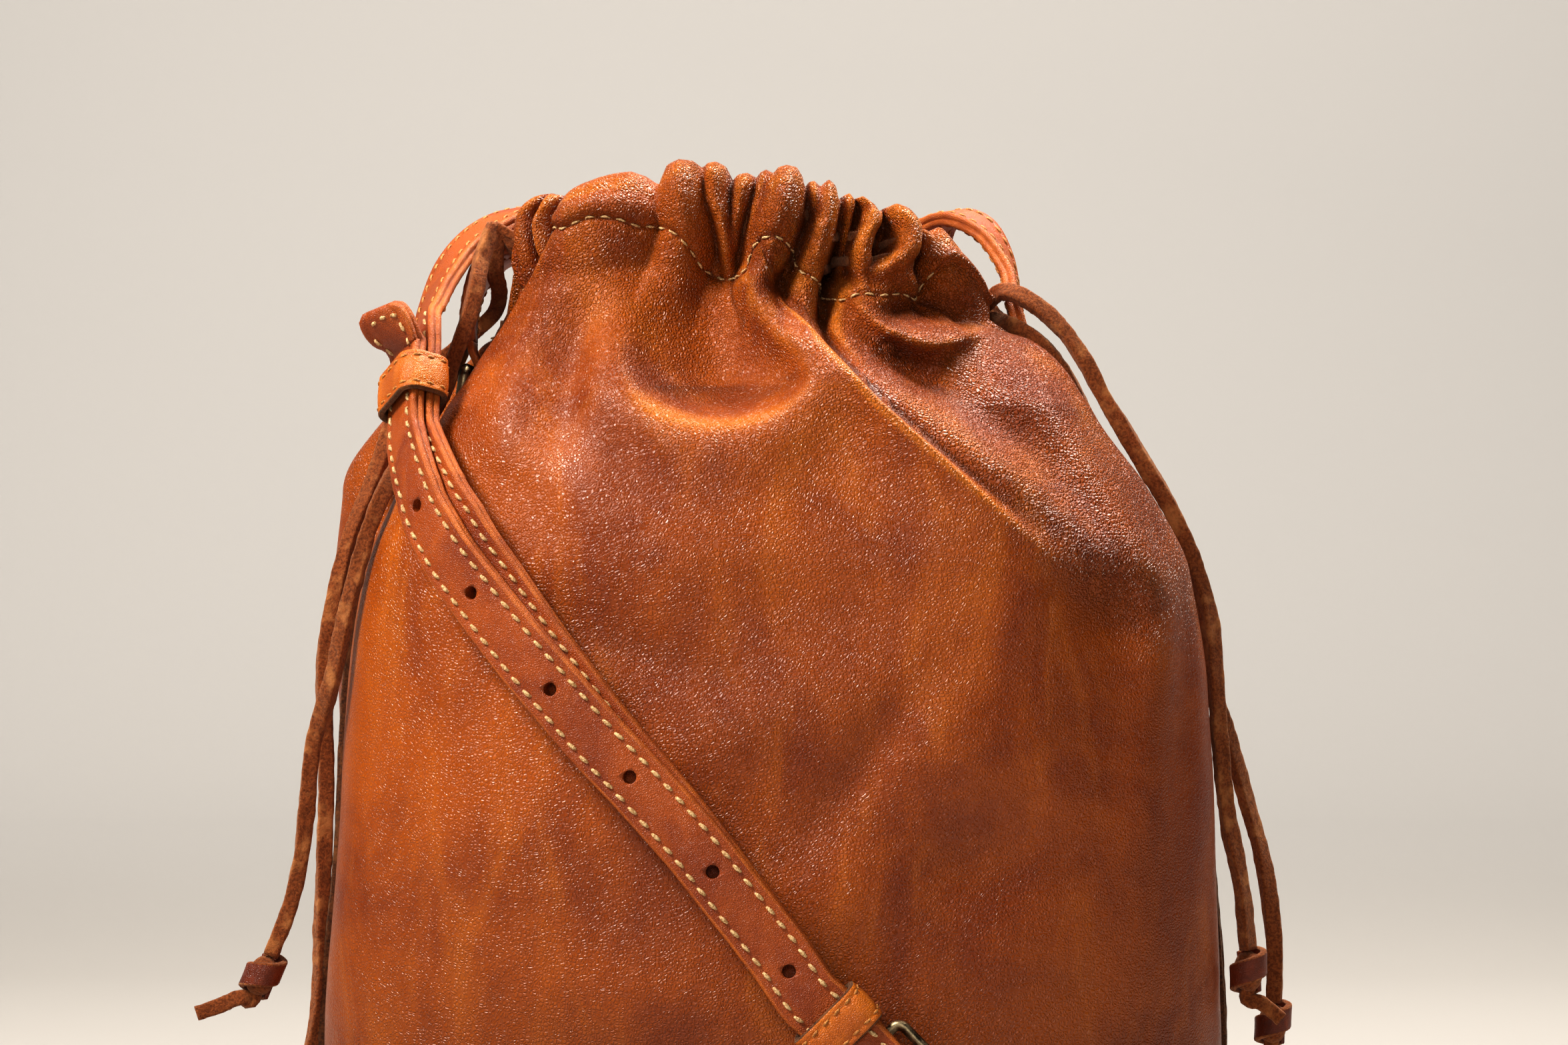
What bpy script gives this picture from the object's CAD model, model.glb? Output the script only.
import math
import bmesh
import bpy
import numpy as np
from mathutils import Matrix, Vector
from mathutils.kdtree import KDTree


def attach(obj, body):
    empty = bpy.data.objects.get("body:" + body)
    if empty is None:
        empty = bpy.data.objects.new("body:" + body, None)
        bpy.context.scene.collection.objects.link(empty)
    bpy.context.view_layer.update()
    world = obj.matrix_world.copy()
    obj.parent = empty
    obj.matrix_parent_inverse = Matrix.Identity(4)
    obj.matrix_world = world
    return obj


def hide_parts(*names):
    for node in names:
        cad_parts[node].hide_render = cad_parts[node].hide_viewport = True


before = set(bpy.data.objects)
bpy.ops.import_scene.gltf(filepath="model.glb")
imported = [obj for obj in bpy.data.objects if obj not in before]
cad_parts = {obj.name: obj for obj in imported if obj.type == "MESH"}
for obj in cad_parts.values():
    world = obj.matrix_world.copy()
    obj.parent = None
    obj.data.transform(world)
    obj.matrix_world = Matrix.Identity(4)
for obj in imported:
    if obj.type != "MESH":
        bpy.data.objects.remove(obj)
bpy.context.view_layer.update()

MM = 0.001
RNG = np.random.default_rng(7)


# ---------------------------------------------------------------- helpers

def unit(v):
    v = np.asarray(v, float)
    return v / np.maximum(np.linalg.norm(v, axis=-1, keepdims=True), 1e-12)


def smoothstep(a, b, x):
    t = np.clip((np.asarray(x, float) - a) / (b - a), 0, 1)
    return t * t * (3 - 2 * t)


def catmull(rows, steps):
    """Smooth curve through rows, with the given number of steps between two of them."""
    rows = np.asarray(rows, float)
    last = len(rows) - 1
    out = []
    for i in range(last):
        a, b, c, d = rows[max(i - 1, 0)], rows[i], rows[i + 1], rows[min(i + 2, last)]
        for k in range(steps):
            u = k / steps
            out.append(0.5 * (2 * b + (c - a) * u + (2 * a - 5 * b + 4 * c - d) * u * u
                              + (3 * b - a - 3 * c + d) * u ** 3))
    out.append(rows[last])
    return np.array(out)


def smooth_lookup(z, zs, vs):
    """Monotone cubic through (zs, vs), flat beyond its ends."""
    zs, vs = np.asarray(zs, float), np.asarray(vs, float)
    h = np.diff(zs)
    d = np.diff(vs) / h
    m = np.zeros_like(vs)
    for i in range(1, len(vs) - 1):
        if d[i - 1] * d[i] > 0:
            w1, w2 = 2 * h[i] + h[i - 1], h[i] + 2 * h[i - 1]
            m[i] = (w1 + w2) / (w1 / d[i - 1] + w2 / d[i])
    m[0] = d[0]
    z = np.clip(np.asarray(z, float), zs[0], zs[-1])
    i = np.clip(np.searchsorted(zs, z, side="right") - 1, 0, len(h) - 1)
    u = (z - zs[i]) / h[i]
    return ((1 + 2 * u) * (1 - u) ** 2 * vs[i] + u * (1 - u) ** 2 * h[i] * m[i]
            + u * u * (3 - 2 * u) * vs[i + 1] + u * u * (u - 1) * h[i] * m[i + 1])


def hash_noise(p, seed):
    """Smooth value noise in -1..1 at 3-D points, one lattice cell per unit."""
    p = np.asarray(p, float)
    cell = np.floor(p).astype(np.int64)
    f = p - cell
    f = f * f * (3 - 2 * f)
    total = 0
    for dx in (0, 1):
        for dy in (0, 1):
            for dz in (0, 1):
                c = cell + (dx, dy, dz)
                n = (c[..., 0] * 374761393 + c[..., 1] * 668265263 + c[..., 2] * 2147483647
                     + seed * 1274126177) & 0xFFFFFFFF
                n = ((n ^ (n >> 13)) * 1103515245) & 0xFFFFFFFF
                value = (n ^ (n >> 16)) / 0x7FFFFFFF - 1.0
                weight = (np.where(dx, f[..., 0], 1 - f[..., 0]) * np.where(dy, f[..., 1], 1 - f[..., 1])
                          * np.where(dz, f[..., 2], 1 - f[..., 2]))
                total = total + weight * value
    return total


def run_of(points):
    """Length along a line, up to each of its points."""
    return np.concatenate([[0], np.cumsum(np.linalg.norm(np.diff(points, axis=0), axis=1))])


def rows_at(s, run, rows):
    """Rows that are known at the lengths in run, looked up at the lengths in s."""
    return np.stack([np.interp(s, run, column) for column in np.asarray(rows, float).T], -1)


def arc(cx, cy, radius, first, last, steps):
    """Points of an arc, with its angles in degrees."""
    angles = [math.radians(first + (last - first) * k / steps) for k in range(steps + 1)]
    return [(cx + radius * math.cos(a), cy + radius * math.sin(a)) for a in angles]


def collection_add(obj):
    bpy.context.scene.collection.objects.link(obj)
    return obj


def mesh_object(name, points, faces, material, smooth=True):
    """New object from points in millimetres."""
    mesh = bpy.data.meshes.new(name)
    mesh.from_pydata((np.asarray(points) * MM).tolist(), [], [tuple(int(i) for i in f) for f in faces])
    mesh.materials.append(material)
    mesh.polygons.foreach_set("use_smooth", [smooth] * len(mesh.polygons))
    mesh.update()
    return collection_add(bpy.data.objects.new(name, mesh))


def set_attribute(obj, name, values):
    layer = obj.data.attributes.new(name, "FLOAT", "POINT")
    layer.data.foreach_set("value", np.asarray(values, np.float32).ravel())


def grid_faces(rows, columns, wrap=False, flip=False, start=0):
    """Quads of a grid whose points run along the columns first."""
    i, j = np.meshgrid(np.arange(rows - 1), np.arange(columns if wrap else columns - 1), indexing="ij")
    k = (j + 1) % columns
    quads = np.stack([i * columns + j, i * columns + k, (i + 1) * columns + k, (i + 1) * columns + j], -1)
    quads = quads.reshape(-1, 4) + start
    return quads[:, ::-1] if flip else quads


def tube_faces(rows, columns, start=0):
    """Faces of a tube of rings, with both ends closed."""
    last = start + (rows - 1) * columns
    ends = [list(range(start, start + columns))[::-1], list(range(last, last + columns))]
    return list(grid_faces(rows, columns, wrap=True, start=start)) + ends


# ---------------------------------------------------------------- camera

def make_camera():
    data = bpy.data.cameras.new("photo_camera")
    data.lens, data.sensor_width = 85, 36
    data.clip_start, data.clip_end = 0.01, 30
    camera = collection_add(bpy.data.objects.new("photo_camera", data))
    camera.location = (0.0033, -0.930, 0.1716)
    camera.rotation_euler = (math.radians(90), 0, 0)
    bpy.context.scene.camera = camera


make_camera()

# ---------------------------------------------------------------- body shape, in millimetres

BODY_FORM = 2.4
# Height, then how far the front reaches left and right, the back reaches left and right, the seams lie
# out left and right, and the front and back bulge
SECTIONS = np.array([
    [2.5, 103, 103, 103, 103, 103, 103, 57, 57],
    [12, 110, 109, 111, 109, 109, 108, 64, 64],
    [40, 114, 116, 119, 114, 111, 112, 67, 67],
    [90, 112, 116, 122, 113, 107, 109, 68, 68],
    [130, 110, 115, 125, 112, 105, 107, 67, 67],
    [160, 107, 112, 129, 109, 99, 100, 64.5, 63.5],
    [180, 100, 103, 129, 100, 88, 86, 58.5, 57.5],
    [200, 82, 89, 114, 84, 73, 68, 50, 48],
    [214, 69, 84, 88, 72, 67, 60, 41, 40],
    [228, 59, 74, 72, 60, 65, 54, 33, 33],
    [236, 55, 57, 67, 54, 66, 51, 29, 30]])
SEAM_SPREAD = 20


def section(z, column):
    """One of the columns of SECTIONS at height z."""
    return smooth_lookup(z, SECTIONS[:, 0], SECTIONS[:, column])


def mouth_dip(x, z):
    """How far the body sinks beside the middle of the mouth, as the ends of the mouth hang lower."""
    end_drop = np.where(x < -8, 6, 17)
    return end_drop * ((np.clip(x, -90, 52) + 8) / 60) ** 2 * np.clip((z - 200) / 36, 0, 1)


def body_point(t, z, inset=0.0):
    """Points of the body without its folds, at angle t in degrees and seen height z."""
    t, z = np.broadcast_arrays(np.asarray(t, float), np.asarray(z, float))
    c, s = np.cos(np.radians(t)), np.sin(np.radians(t))
    rc = np.sign(c) * np.abs(c) ** (2 / BODY_FORM)
    rs = np.sign(s) * np.abs(s) ** (2 / BODY_FORM)
    front, left = s < 0, c < 0
    from_seam = np.degrees(np.arcsin(np.clip(np.abs(s), 0, 1)))
    up = z
    for _ in range(3):
        reach = np.where(front, np.where(left, section(up, 1), section(up, 2)),
                         np.where(left, section(up, 3), section(up, 4)))
        seam = np.where(left, section(up, 5), section(up, 6))
        bulge = np.where(front, section(up, 7), section(up, 8))
        x = rc * (reach + (seam - reach) * np.exp(-(from_seam / SEAM_SPREAD) ** 2) - inset)
        up = z + mouth_dip(x, up)
    return np.stack([x, rs * (bulge - inset), z], -1)


# ---------------------------------------------------------------- folds

def soft_max(values, k):
    """Smooth maximum over the first axis, rounded over about 1/k."""
    top = values.max(axis=0)
    return top + np.log(np.exp((values - top) * k).sum(axis=0)) / k


def polyline_field(x, z, rows):
    """Signed distance to a line in the front view (positive on its right, walking along it), and the
    other columns of its rows at the nearest place."""
    rows = catmull(rows, 5)
    best = np.full(x.shape, 1e9)
    signed = np.zeros(x.shape)
    extra = np.zeros(x.shape + (rows.shape[1] - 2,))
    for a, b in zip(rows[:-1], rows[1:]):
        d = b[:2] - a[:2]
        size = max(float(d @ d), 1e-9)
        u = np.clip(((x - a[0]) * d[0] + (z - a[1]) * d[1]) / size, 0, 1)
        dx, dz = x - (a[0] + u * d[0]), z - (a[1] + u * d[1])
        dist = np.hypot(dx, dz)
        nearer = dist < best
        side = np.sign(dx * d[1] - dz * d[0])
        best = np.where(nearer, dist, best)
        signed = np.where(nearer, side * dist, signed)
        value = a[2:] + u[..., None] * (b[2:] - a[2:])
        extra = np.where(nearer[..., None], value, extra)
    return signed, extra


def ridge(x, z, rows):
    """Ridge or valley along a line. Rows: x, z, height, width on the left side, width on the right side
    where it differs."""
    q, e = polyline_field(x, z, rows)
    return e[..., 0] * np.exp(-(q / np.where(q < 0, e[..., 1], e[..., -1])) ** 2)


def step(x, z, rows):
    """Overlap edge along a line: high on the left with a slow fall, and a sharp drop on the right.
    Rows: x, z, height, length of the slow side, width of the drop."""
    q, e = polyline_field(x, z, rows)
    fall = np.where(q < 0, np.abs(q / e[..., 1]) ** 1.5, (q / e[..., 2]) ** 2)
    return e[..., 0] * np.exp(-fall)


def dent(x, z, cx, cz, wx, wz, height, turn=0.0):
    """Oval rise or hollow at (cx, cz), turned by an angle in degrees."""
    a = math.radians(turn)
    u = (x - cx) * math.cos(a) + (z - cz) * math.sin(a)
    v = -(x - cx) * math.sin(a) + (z - cz) * math.cos(a)
    return height * np.exp(-(u / wx) ** 2 - (v / wz) ** 2)


FRONT_TOP = np.array([
    (-66, 246), (-64.5, 249.5), (-62, 252.4), (-58.4, 253.9), (-54.9, 253), (-53.2, 251.6), (-51.8, 252.4),
    (-50.5, 252.6), (-49.3, 249.5), (-47.8, 251.2), (-45.5, 253.6), (-43, 255), (-40, 256.2), (-37.3, 257),
    (-33.8, 257.4), (-30.6, 256.2), (-28.4, 254.6), (-27.2, 254.3), (-26.3, 256), (-24.8, 259), (-22, 260.1),
    (-18.8, 259.7), (-16.9, 258.2), (-15.4, 259.3), (-13.3, 259.6), (-11, 258.5), (-9.4, 255.4), (-8, 256.5),
    (-5.7, 256.9), (-3.5, 255.9), (-2.4, 257.1), (-1, 257.7), (0.7, 256.6), (2, 258), (3.9, 258.5),
    (6.4, 258), (7.8, 256), (8.5, 253.4), (9.4, 254.6), (10.7, 254.9), (12.3, 253.6), (14.2, 255.2),
    (15.9, 253.8), (16.8, 250.4), (17.7, 251.2), (19.5, 252.1), (20.9, 250.7), (22.6, 251.2), (24.9, 249.4),
    (26.6, 247.3), (28.3, 248.4), (30.6, 249.5), (33.6, 248.6), (36.3, 246.4), (37.3, 243.6), (39, 243.8),
    (42, 241.8), (46, 239), (50, 236.4), (53, 232.5)])
FRONT_SEAM = np.array([
    (-66, 231), (-61, 228.2), (-57, 228.5), (-53.6, 233), (-51.5, 240.5), (-49.5, 243), (-46.9, 243.5),
    (-44.8, 243), (-42.2, 244.5), (-39.9, 245.7), (-36.9, 245.8), (-34, 245.1), (-30.8, 243.5),
    (-28.2, 243.6), (-24.1, 242.9), (-22, 241.6), (-20, 239.2), (-18.5, 236.6), (-17, 233.4),
    (-14.4, 231.7), (-10.9, 230.8), (-8, 231.2), (-5.8, 232.5), (-4.8, 235.6), (-3.9, 238.3), (-1.8, 240.4),
    (1.1, 240.9), (3.4, 239.8), (5.6, 237.2), (6.5, 233.6), (7.5, 232.2), (9.3, 231.3), (12.2, 229.3),
    (14.8, 226.4), (17.5, 225.3), (21.3, 227), (25.9, 226.6), (31.2, 227.5), (35.9, 226.4), (37.2, 228.2),
    (38.5, 231), (40.6, 234.4), (42.7, 235.3), (46, 233.4), (50, 229), (53, 224)])
# Rounded fingers of the front hem: rows of height, centre, half width and how far they stand out
FRONT_FINGERS = [
    [(254, -60.5, 2.6, 0.5), (247, -62.5, 2.8, 1.2), (240, -61.5, 2.6, 1.2), (230, -60, 3, 0.5)],
    [(254, -56.5, 2.2, 0.2), (246, -58, 2.2, 0.8), (239, -57, 2, 0.6), (231, -55.5, 2.4, -1)],
    [(254, -52.2, 2.4, -0.2), (246, -53.5, 2.2, 0.2), (238, -53, 2, -1), (230, -52, 2, -3)],
    [(258, -37.5, 11.8, 4.6), (245, -38, 12, 5.2), (236, -42, 14, 5), (222, -48, 18, 4), (200, -58, 24, 2)],
    [(260, -21.8, 5.6, 5.8), (252, -21.6, 5.8, 6), (245, -21, 6.2, 5.2), (238, -22.5, 7.5, 3.6),
     (228, -27, 9, 2), (215, -31, 10, 1)],
    [(260, -13.4, 3.6, 4), (252, -13.4, 3.5, 3.6), (245, -11.8, 3, 2.2), (238, -10.8, 2.6, 0.2),
     (232, -10.5, 3, -2.6)],
    [(257, -6.2, 3.4, 3), (250, -7.3, 3.1, 2.2), (243, -8.8, 2.4, 0.2), (236, -9.8, 2.4, -2.6)],
    [(258, -1.2, 2.6, 3), (250, -2.6, 2.6, 2.4), (243, -4.4, 2.2, 0.4), (236, -6.4, 2, -2)],
    [(259, 3.9, 4.7, 6.8), (250, 3, 5, 7.4), (243, 1.4, 5.4, 6.8), (236, -0.6, 5.2, 5.4), (228, -4.2, 4.6, 3.6),
     (222, -2.6, 4.6, 3)],
    [(255, 10.4, 2.4, 3.6), (250, 11.3, 2.6, 3.2), (245, 12.2, 2.4, 2.2)],
    [(256, 14.2, 3, 4.6), (248, 13.9, 3.5, 5), (240, 12, 4.2, 4.8), (232, 9.4, 4.4, 3.6), (225, 8.6, 4.6, 1.6),
     (219, 10, 4, -1)],
    [(252, 19.4, 2.5, 2), (246, 18.6, 2.3, 1), (238, 17.6, 1.8, -1.6)],
    [(252, 22.8, 2.6, 4.6), (248.5, 25.2, 2.6, 5), (245, 24.6, 2.7, 5), (241, 22.6, 2.6, 4.8),
     (237, 21.6, 2.8, 4.6), (233.5, 21.8, 3, 4)],
    [(250, 31.6, 3.6, 5), (244, 33.4, 3.2, 5.6), (239, 32.6, 3.4, 5.6), (235, 29.6, 4.6, 5.2),
     (232, 27, 7.6, 4.6), (227, 27, 9.6, 3.6), (222, 27.6, 10, 2)],
    [(244, 41.6, 4.8, 1.6), (236, 43.4, 6, 3.4), (228, 46, 8, 4), (218, 50, 13, 3.4), (205, 60, 20, 2)]]


def finger_field(x, z, fingers, floor):
    """Round fingers of a gathered hem that stand side by side on a floor height."""
    values = [np.broadcast_to(floor, x.shape)]
    for rows in fingers:
        rows = np.array(sorted(rows))
        centre, half, height = (smooth_lookup(z, rows[:, 0], rows[:, i]) for i in (1, 2, 3))
        fade = np.maximum(rows[0, 0] - z, 0) * 0.25
        q = (x - centre) / half
        values.append(1.25 * height - 6 * (0.8 * q ** 2 + 0.2 * q ** 4) - fade)
    return soft_max(np.array(values), 2.2)


# Ridges and valleys of the front, each a line of rows as ridge() takes them
FRONT_RIDGES = [
    # ring of leather round the hollow under the middle gathers
    [(-30, 236, 2, 5, 7), (-33, 224, 3.6, 5, 8), (-35, 212, 5, 4.5, 9), (-32.5, 203, 5.8, 4.5, 10),
     (-26, 197.2, 6.2, 4.5, 12), (-16, 194, 6.2, 4.5, 13), (-5, 194.6, 6, 4.5, 13), (4.5, 198.6, 5.6, 4.5, 11),
     (9.4, 205, 5.2, 4, 8), (7, 211.4, 5.2, 4, 6), (1.6, 217.4, 5.6, 4, 5), (-2.4, 223.5, 5.6, 3.5, 5),
     (-3.8, 230, 4.6, 3, 5)],
    # long ridge, valley and shoulder of the right lobe
    [(14, 219, 0.5, 3, 3), (18.6, 210.4, 3.2, 4, 5), (27, 203, 4.6, 5, 6), (37.4, 195, 5, 6, 6.6),
     (56.8, 181.8, 5, 7, 7.4), (75, 166.8, 4, 8, 7), (85.5, 158.4, 2.4, 7, 6), (90, 150, 0, 5, 6)],
    [(30, 213, -3.4, 3.4, 3.4), (36, 208.4, -5.4, 4, 3.8), (48, 200.5, -3.8, 4.6, 5), (62, 189, -2.2, 5, 6),
     (70, 178.6, -1.2, 5, 6), (78, 168, 0, 5, 6)],
    [(50, 219, 0.5, 4, 4), (62.5, 204.4, 2.4, 5, 5), (73.4, 186.7, 3.2, 6, 5), (84, 169, 3.4, 6, 5),
     (90, 156.4, 2.6, 7, 5), (92, 142, 1.4, 8, 6), (92, 120, 0, 9, 7)],
    # brim over the right lobe
    [(17.5, 231, 1.5, 4, 2.4), (20, 226, 3.6, 4.6, 2.2), (25, 220.4, 5.4, 5.4, 2.2), (31.2, 216.4, 6, 6, 2.2),
     (37.6, 214.8, 5.6, 6.4, 2.4), (44, 216.4, 4.4, 6.6, 3), (50, 220, 1.8, 6, 4), (54, 223.4, 0, 6, 4)],
    # soft folds that run down from the left gathers
    [(-36, 240, 0.8, 4), (-45, 229, 1.8, 4.5), (-54, 217, 2.2, 5), (-59, 206, 2.2, 5.5), (-61.5, 196, 1.6, 6),
     (-63, 182, 0, 7)],
    [(-37, 232, -0.6, 4), (-44, 218, -1.6, 4.5), (-48, 204, -1.6, 5), (-50, 188, 0, 6)],
    [(-38, 214, 0.6, 4), (-41, 200, 1.6, 5), (-42, 184, 1.2, 6), (-40, 168, 0, 7)],
    # broad round left of the hollow
    [(-40, 240, 1.5, 9, 8), (-48, 224, 2.2, 12, 8), (-58, 205, 1.6, 14, 10), (-68, 186, 0, 14, 12)],
    # right edge of the front
    [(88, 166, 0, 8, 8), (91, 150, 1.6, 9, 7), (91.5, 120, 1.8, 10, 7), (90, 90, 1.2, 11, 8), (90, 60, 0.6, 12, 9)],
    [(99, 160, 0, 4, 4), (100, 145, -1.2, 4, 5), (99, 120, -1.4, 4, 6), (98, 96, -0.6, 5, 7), (98, 80, 0, 5, 8)]]
# Hollows under the middle gathers and under the brim, then the slow rise and fall of the lower front
FRONT_DENTS = [
    (-14, 217, 12, 16, -8.5), (-14, 206, 13, 6, -4.5), (33, 223, 6.8, 3.4, -6.5, 8),
    (-20, 168, 30, 16, 2.2, 12), (12, 150, 26, 14, -1.8, -20), (-8, 122, 30, 12, 1.8, 25),
    (45, 120, 26, 20, 2, -35), (48, 92, 20, 14, -2.2, 10), (-62, 90, 18, 26, 2, 10),
    (-30, 62, 26, 16, 2.4, -15), (-90, 120, 10, 40, -1.4), (24, 118, 6, 26, -1.4, -38),
    (82, 150, 10, 7, -0.9, 20), (-46, 180, 16, 9, 1.8, -30), (-58, 196, 9, 20, 1.2, -20),
    (16, 86, 22, 12, 1.8, 10), (-28, 142, 24, 7, -1.4, -22), (60, 150, 12, 20, 1.6, 30),
    (-66, 140, 14, 20, -1.6)]
# Middle lobe that overlaps the right one along a diagonal, seen mirrored
LOBE_EDGE = [
    (0.5, 233, 3.4, 9, 0.9), (-2.6, 225, 6.4, 9, 0.9), (-8.5, 218.8, 9, 9, 0.9), (-20.5, 204.4, 9.4, 11, 0.9),
    (-31.5, 193.4, 8, 13, 1.1), (-47, 179, 5.4, 16, 1.9), (-58, 169, 3.4, 18, 3), (-68, 160, 1.6, 20, 5),
    (-76, 152, 0, 20, 7)]
# Left edge of the front leather, which overhangs the gathered side: x, z and height
LEFT_EDGE = [
    (-47.9, 256, 6), (-47.8, 247, 6.5), (-49, 240, 7), (-54, 231.5, 7), (-60, 222, 6.6), (-66, 213.4, 6.2),
    (-71, 206.6, 5.6), (-76.4, 199.6, 4.6), (-83, 190, 2.4), (-90, 178, 0)]
# Deep gap between the hem gathers and the right lobe
LOBE_GAP = [
    (17.2, 248, -1.5, 1.4, 1.4), (16.4, 240, -6, 1.7, 1.7), (15, 232, -9, 1.9, 1.9), (13.6, 224, -9, 1.9, 2.1),
    (13.4, 217.6, -7, 1.8, 2.1), (17, 211.4, -3, 1.8, 2), (21, 206, 0, 2, 2)]
HEM_LOW, HEM_BLEND = 214, 22


def front_folds(x, z):
    """How far the front leather stands out from the body at places seen from the front."""
    hem = finger_field(x, z, FRONT_FINGERS, -5.0)
    body = sum(ridge(x, z, rows) for rows in FRONT_RIDGES) + sum(dent(x, z, *row) for row in FRONT_DENTS)
    body = body + step(-x, z, LOBE_EDGE)
    blend = smoothstep(0, 1, (z - HEM_LOW) / HEM_BLEND)
    edge = step(x, z, [(ex, ez, h, 11 + i, 0.9 + 0.12 * i) for i, (ex, ez, h) in enumerate(LEFT_EDGE)])
    edge += ridge(x, z, [(ex - 1.2, ez - 0.6, -0.55 * h, 1.4, 6.5) for ex, ez, h in LEFT_EDGE])
    return hem * blend + body * (1 - 0.75 * blend) + edge + ridge(x, z, LOBE_GAP)


def back_gathers():
    """Fingers and top line of the back hem, with widths and heights drawn at random."""
    fingers, top, x = [], [(-68, 245.0)], -66.0
    while x < 52:
        half = RNG.uniform(2.6, 5.2)
        centre, height = x + half, RNG.uniform(1.0, 5.5)
        drift, lift = RNG.uniform(-2, 2), RNG.uniform(-1.2, 1.2)
        fingers.append([(258, centre, half * 0.95, height), (246, centre + 0.4 * drift, half, height * 0.9),
                        (236, centre + drift, half * 1.1, height * 0.5 - 1),
                        (222, centre + 1.6 * drift, half * 1.7, -2.0)])
        crest = 256.2 - 0.0052 * (centre + 14) ** 2 + lift
        top += [(centre - 0.75 * half, crest - 1.0), (centre, crest), (centre + 0.75 * half, crest - 1.0)]
        x += 2 * half * 0.92
    top.append((54, 233.0))
    return fingers, np.array(sorted(top))


BACK_FINGERS, BACK_TOP = back_gathers()
BACK_SEAM = np.array([
    (x, 233 - 0.005 * (x + 14) ** 2 + 1.6 * math.sin(x * 0.31) + 1.2 * math.sin(x * 0.73 + 1))
    for x in range(-68, 55, 3)])


# Ridges of the back: x at the hem, lean, height, width and lowest point
BACK_RIDGES = (
    (-48, -0.9, 3.2, 9, 175), (-27, -0.35, -3, 7, 168), (-12, -0.1, 3.4, 9, 160), (4, 0.25, -3.4, 7, 172),
    (17, 0.5, 2.8, 8, 165), (30, 0.8, -2.4, 7, 180), (44, 1.1, 2.6, 9, 176))
BACK_DENTS = (
    (-35, 120, 34, 22, 1.4, 20), (30, 95, 30, 26, -1.4, -15), (-10, 60, 40, 16, 1.2, 5), (75, 130, 14, 30, 1.3))


def back_folds(x, z):
    """How far the back leather stands out from the body."""
    hem = finger_field(x, z, BACK_FINGERS, -5.0)
    body = sum(dent(x, z, *row) for row in BACK_DENTS)
    for cx, lean, height, width, low in BACK_RIDGES:
        body = body + ridge(x, z, [
            (cx, 240, height, width), (cx + lean * 22, 218, height * 0.9, width * 1.2),
            (cx + lean * 46, 194, height * 0.5, width * 1.7), (cx + lean * 66, low, 0, width * 2.2)])
    blend = smoothstep(0, 1, (z - HEM_LOW) / HEM_BLEND)
    return hem * blend + body * (1 - 0.8 * blend)


# ---------------------------------------------------------------- strap paths

STRAP_W, STRAP_T = 15.0, 3.6
STACK = STRAP_T + 0.5
HEEL = np.array([22.5, -73, 48.5])
LEFT_BAR, RIGHT_BAR = np.array([-77.5, 2, 200.0]), np.array([67.8, 0, 201.0])
RING_RISE, LOOP_LEG = 10.0, 7.0
LEFT_RING_LEAN, LEFT_LEG_LEAN, RIGHT_RING_LEAN = 8.0, 0.0, -16.0
CAD_Z = [2.5, 12, 40, 90, 130, 160, 180, 200, 214, 228, 236]
CAD_LEFT = [103, 110, 112, 110, 108, 105, 98, 80, 68, 58, 55]
CAD_RIGHT = [103, 109, 112, 110, 110, 105, 95, 79, 69, 58, 55]
CAD_FRONT = [57, 64, 67, 68, 67, 64, 58, 50, 41, 33, 29]


def leaned(lean):
    """Directions up and right, for something turned by an angle in degrees as seen from the front."""
    a = math.radians(lean)
    return np.array([math.sin(a), 0, math.cos(a)]), np.array([math.cos(a), 0, -math.sin(a)])


def ring_top(bar, lean):
    return bar + leaned(lean)[0] * RING_RISE


def leg_row(bar, ring_lean, lean, beyond):
    """Row of a strap path on the leg above a ring, a distance beyond its folded end."""
    up, right = leaned(lean)
    return [*(ring_top(bar, ring_lean) + up * (LOOP_LEG + beyond)), *right]


def from_heel(u, n):
    """Place at u along the strap past the buckle's heel bar and n out of the front."""
    return HEEL + np.array([u, 0, -u]) / math.sqrt(2) + np.array([0, -n, 0])


def stack_row(u, n):
    return [*from_heel(u, n), 0, -1, 0]


def on_front(x, z, turn, off):
    """Row of a strap path that lies off the CAD body's front, with its face turned by an angle in degrees."""
    reach = np.interp(z, CAD_Z, CAD_LEFT if x < 0 else CAD_RIGHT)
    y = -np.interp(z, CAD_Z, CAD_FRONT) * (1 - (abs(x) / reach) ** BODY_FORM) ** (1 / BODY_FORM)
    a = math.radians(turn)
    return [x, y - off, z, -math.sin(a), -math.cos(a), 0]


LEFT_LEG = [leg_row(LEFT_BAR, LEFT_RING_LEAN, LEFT_LEG_LEAN, beyond) for beyond in (0.1, 1.5, 3)] + [
    [-75.8, 7, 227, 1, 0, -0.1], [-74.6, 15, 233, 0.95, -0.1, -0.3], [-70.5, 23, 238, 0.7, -0.1, -0.75],
    [-63.5, 30, 242, 0.35, 0.35, -0.85], [-58, 34, 247, 0.6, 0.6, -0.3], [-59, 32.5, 252, 0, 0.2, 1],
    [-65, 26, 251, -0.35, -0.35, 0.85], [-72.5, 17, 246.5, -0.45, -0.42, 0.78],
    [-79, 7, 239, -0.65, -0.45, 0.6], [-83, -4, 229, -0.8, -0.45, 0.35], [-84.8, -13.5, 220.8, -0.86, -0.43, 0.22]]
KEEPER_TOP = np.array([-85.2, -22.5, 213, -0.86, -0.45, 0.2])
KEEPER_END = np.array([-84.6, -34.1, 194, -0.86, -0.45, 0.2])
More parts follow.
